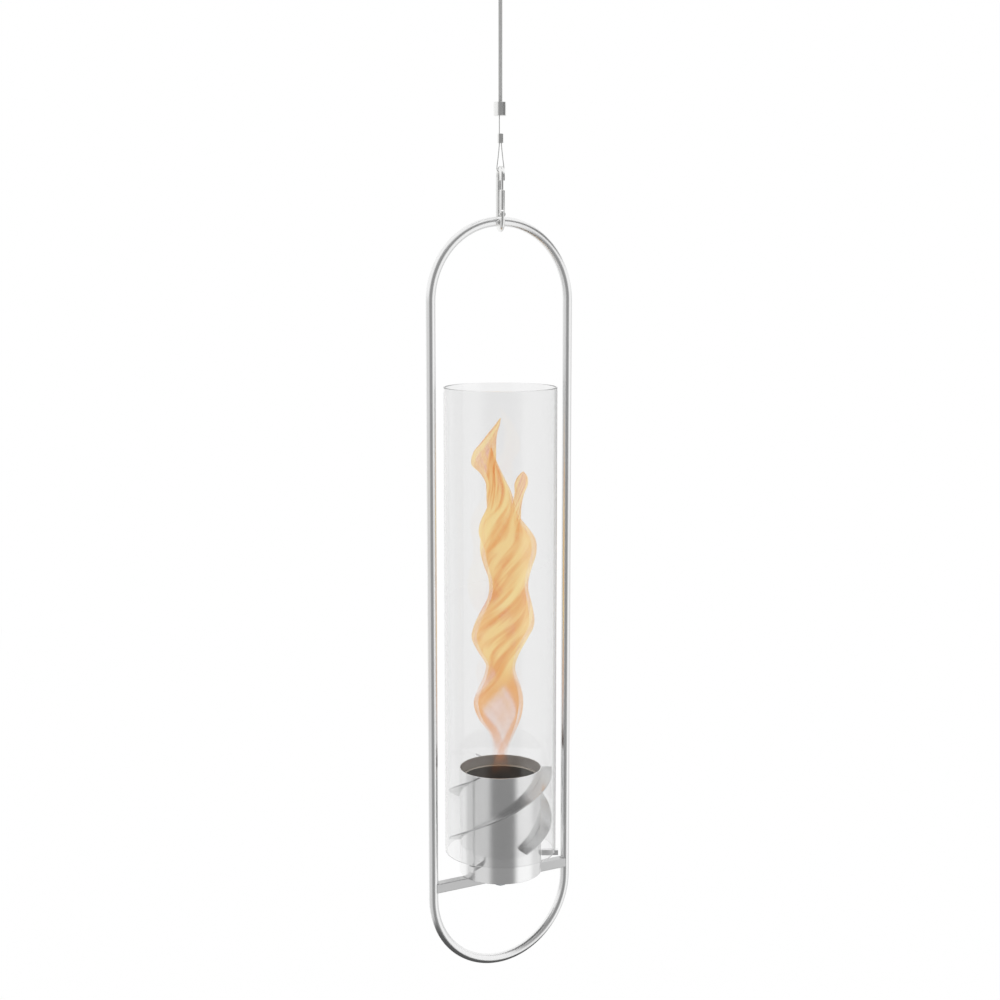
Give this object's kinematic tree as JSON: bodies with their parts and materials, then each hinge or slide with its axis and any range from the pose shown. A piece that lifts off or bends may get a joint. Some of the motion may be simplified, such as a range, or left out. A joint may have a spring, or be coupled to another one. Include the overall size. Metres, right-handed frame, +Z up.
{
  "type": "hanging fireplace",
  "caption": "Burner cup with helical air vanes under a glass cylinder, on a crossbar in a tall round-bar ring that hangs from the ceiling on a steel rope.",
  "frame": {"origin": "on the ceiling, at the middle of the ceiling plate's upper face", "axes": "+Z up towards the ceiling; +X along the crossbar, so that the ring lies in the XZ plane; +Y across the ring"},
  "size_m": [0.175, 0.1229, 1.1512],
  "materials": {
    "brushed_steel": "satin",
    "bright_steel": "polished",
    "zinc_hardware": "satin",
    "rope_steel": "matte",
    "clear_glass": "polished",
    "fibre": "matte"
  },
  "bodies": {
    "root": {"ceiling_plate": "zinc_hardware", "ceiling_screw_1": "zinc_hardware", "ceiling_screw_2": "zinc_hardware", "ceiling_screw_3": "zinc_hardware", "ceiling_hook": "zinc_hardware"},
    "rope": {"suspension_rope": "rope_steel", "rope_thimble": "zinc_hardware", "rope_ferrule": "zinc_hardware", "rope_clamp": "bright_steel"},
    "wire": {"hanger_wire": "rope_steel", "crimp_sleeve": "bright_steel"},
    "hook": {"snap_hook": "bright_steel", "gate_rivet": "bright_steel"},
    "gate": {"hook_gate": "bright_steel", "gate_spring": "bright_steel"},
    "frame": {"ring_frame": "brushed_steel", "crossbar": "brushed_steel", "cup_shell": "brushed_steel", "cup_floor": "brushed_steel", "air_vane_1": "brushed_steel", "air_vane_2": "brushed_steel", "air_vane_3": "brushed_steel", "glass_rest_1": "brushed_steel", "glass_rest_2": "brushed_steel", "glass_rest_3": "brushed_steel", "fixing_bolt": "zinc_hardware", "bolt_washer": "zinc_hardware", "cup_nut": "zinc_hardware"},
    "glass": {"glass_cylinder": "clear_glass"},
    "burner": {"burner_can": "bright_steel", "fibre_pad": "fibre"}
  },
  "joints": [
    {"name": "rope_swing", "type": "hinge", "parent": "root", "child": "rope", "pos_m": [0, 0, -0.034], "axis": [0.3007, 0.9537, 0], "range_deg": [-40, 40]},
    {"name": "wire_turn", "type": "hinge", "parent": "rope", "child": "wire", "pos_m": [-0.00105, 0.00033, -0.2074], "axis": [0, 0, 1], "range_deg": [-180, 180]},
    {"name": "hook_swing", "type": "hinge", "parent": "wire", "child": "hook", "pos_m": [0, 0, -0.2645], "axis": [0.9537, -0.3007, 0], "range_deg": [-30, 30]},
    {"name": "gate_open", "type": "hinge", "parent": "hook", "child": "gate", "pos_m": [-0.00271, -0.00858, -0.308], "axis": [-0.9537, 0.3007, 0], "range_deg": [0, 23], "stiffness_Nm_per_rad": 0.03, "springref_deg": -20.05},
    {"name": "frame_swing", "type": "hinge", "parent": "hook", "child": "frame", "pos_m": [0, 0, -0.3151], "axis": [1, 0, 0], "range_deg": [-30, 30]},
    {"name": "glass_lift", "type": "slide", "parent": "frame", "child": "glass", "axis": [0, 0, 1], "range_m": [0, 0.135]},
    {"name": "burner_lift", "type": "slide", "parent": "frame", "child": "burner", "axis": [0, 0, 1], "range_m": [0, 0.11]}
  ]
}
